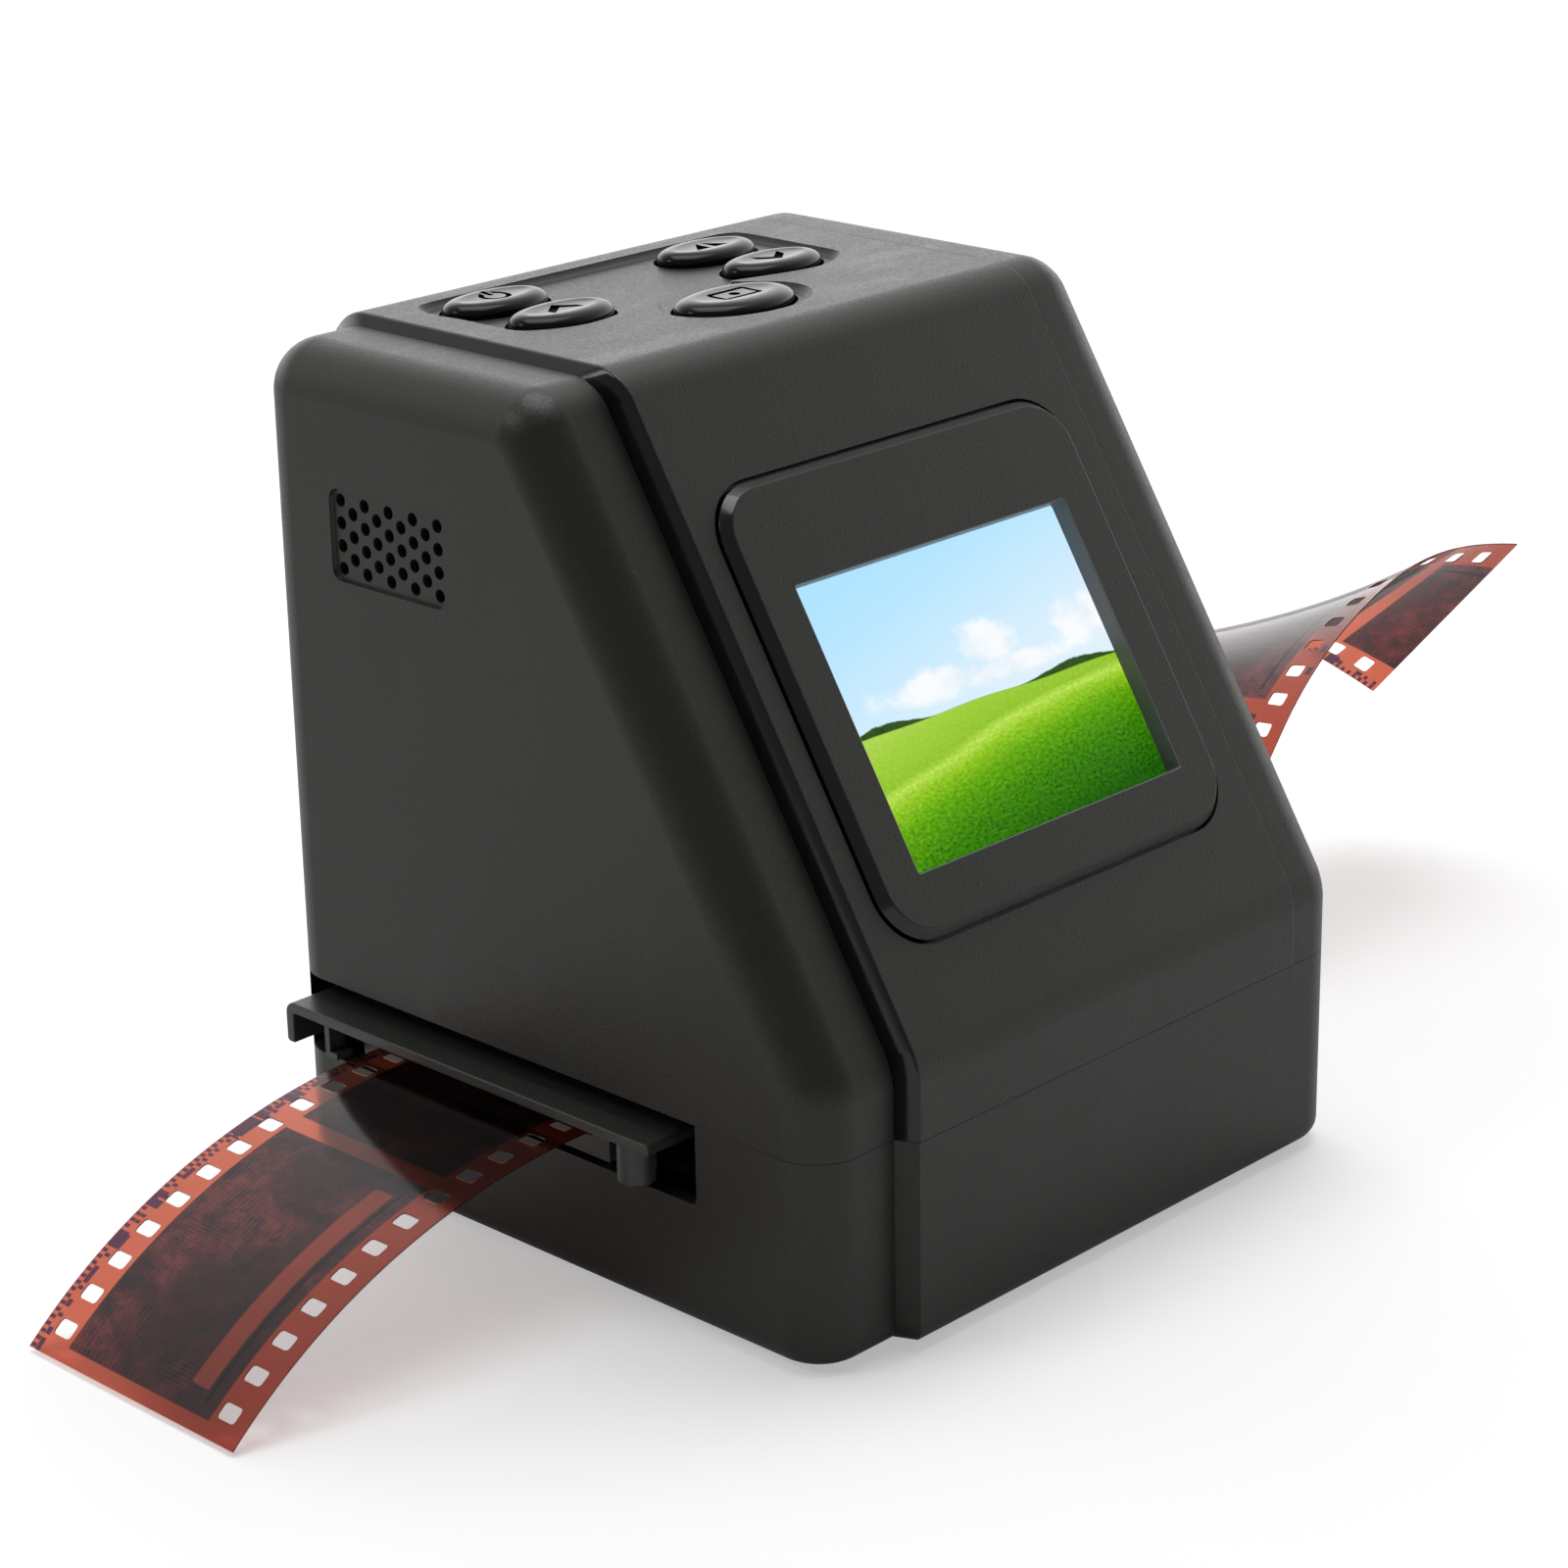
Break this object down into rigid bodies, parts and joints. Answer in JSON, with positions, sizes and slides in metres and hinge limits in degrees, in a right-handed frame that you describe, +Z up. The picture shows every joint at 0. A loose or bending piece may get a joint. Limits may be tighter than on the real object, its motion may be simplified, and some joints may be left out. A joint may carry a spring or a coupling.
{
  "type": "film negative scanner",
  "caption": "Desktop scanner for strips of 35 mm film, with a screen on its sloping front, push buttons on top and a film carrier that slides through from side to side.",
  "frame": {"origin": "bottom centre of the whole object's box, film included, on the table", "axes": "+Z up, -Y towards the user (the screen's side), +X to the user's right, along the film"},
  "size_m": [0.2262, 0.09, 0.1033],
  "materials": {
    "case_plastic": "fine-grained charcoal moulding",
    "gloss_black": "polished black",
    "dark_plastic": "matt black",
    "clear_pane": "clear hard plastic",
    "display": "colour display",
    "circuit_board": "green solder mask",
    "steel": "bright steel",
    "white_plastic": "white moulding",
    "opal_diffuser": "translucent opal",
    "lamp_yellow": "phosphor",
    "lens_glass": "coated glass",
    "chip_black": "dark resin",
    "rubber": "matt",
    "film": "orange-brown colour negative film"
  },
  "bodies": {
    "case": {"button_board": "circuit_board", "button_board_screw_0": "steel", "button_board_screw_1": "steel", "button_board_screw_2": "steel", "button_board_screw_3": "steel", "camera_chamber": "dark_plastic", "camera_lens": "lens_glass", "card_board": "circuit_board", "card_socket": "steel", "carrier_deck": "dark_plastic", "case_screw_left": "steel", "case_screw_right": "steel", "centre_band": "case_plastic", "down_switch": "dark_plastic", "foot_front_left": "rubber", "foot_front_right": "rubber", "foot_rear_left": "rubber", "foot_rear_right": "rubber", "image_sensor": "chip_black", "lamp_board": "circuit_board", "lamp_diffuser": "opal_diffuser", "lamp_housing": "white_plastic", "lamp_led_0": "lamp_yellow", "lamp_led_1": "lamp_yellow", "lamp_led_2": "lamp_yellow", "lamp_led_3": "lamp_yellow", "lcd_panel": "display", "left_side_shell": "case_plastic", "lens_barrel": "steel", "lens_holder": "dark_plastic", "lower_case": "case_plastic", "main_board": "circuit_board", "main_board_screw_0": "steel", "main_board_screw_1": "steel", "mirror_switch": "dark_plastic", "power_switch": "dark_plastic", "right_side_shell": "case_plastic", "scan_switch": "dark_plastic", "screen_bezel": "case_plastic", "screen_window": "clear_pane", "sensor_board": "circuit_board", "speaker": "chip_black", "up_switch": "dark_plastic", "usb_board": "circuit_board", "usb_socket": "steel"},
    "power_button_body": {"power_button": "gloss_black", "power_plunger": "chip_black"},
    "up_button_body": {"up_button": "gloss_black", "up_plunger": "chip_black"},
    "mirror_button_body": {"mirror_button": "gloss_black", "mirror_plunger": "chip_black"},
    "down_button_body": {"down_button": "gloss_black", "down_plunger": "chip_black"},
    "scan_button_body": {"scan_button": "gloss_black", "scan_plunger": "chip_black"},
    "film_carrier": {"carrier_bed": "dark_plastic", "carrier_cover": "dark_plastic", "hinge_pin_left": "steel", "hinge_pin_right": "steel"},
    "film": {"film_strip": "film"}
  },
  "joints": [
    {"name": "power_press", "type": "slide", "parent": "case", "child": "power_button_body", "axis": [0, 0, -1], "range_m": [0, 0.0005], "stiffness_N_per_m": 2000},
    {"name": "up_press", "type": "slide", "parent": "case", "child": "up_button_body", "axis": [0, 0, -1], "range_m": [0, 0.0005], "stiffness_N_per_m": 2000},
    {"name": "mirror_press", "type": "slide", "parent": "case", "child": "mirror_button_body", "axis": [0, 0, -1], "range_m": [0, 0.0005], "stiffness_N_per_m": 2000},
    {"name": "down_press", "type": "slide", "parent": "case", "child": "down_button_body", "axis": [0, 0, -1], "range_m": [0, 0.0005], "stiffness_N_per_m": 2000},
    {"name": "scan_press", "type": "slide", "parent": "case", "child": "scan_button_body", "axis": [0, 0, -1], "range_m": [0, 0.0005], "stiffness_N_per_m": 2000},
    {"name": "carrier_slide", "type": "slide", "parent": "case", "child": "film_carrier", "axis": [1, 0, 0], "range_m": [-0.01, 0.01]},
    {"name": "film_feed", "type": "slide", "parent": "film_carrier", "child": "film", "axis": [1, 0, 0], "range_m": [-0.00475, 0.00475]}
  ]
}
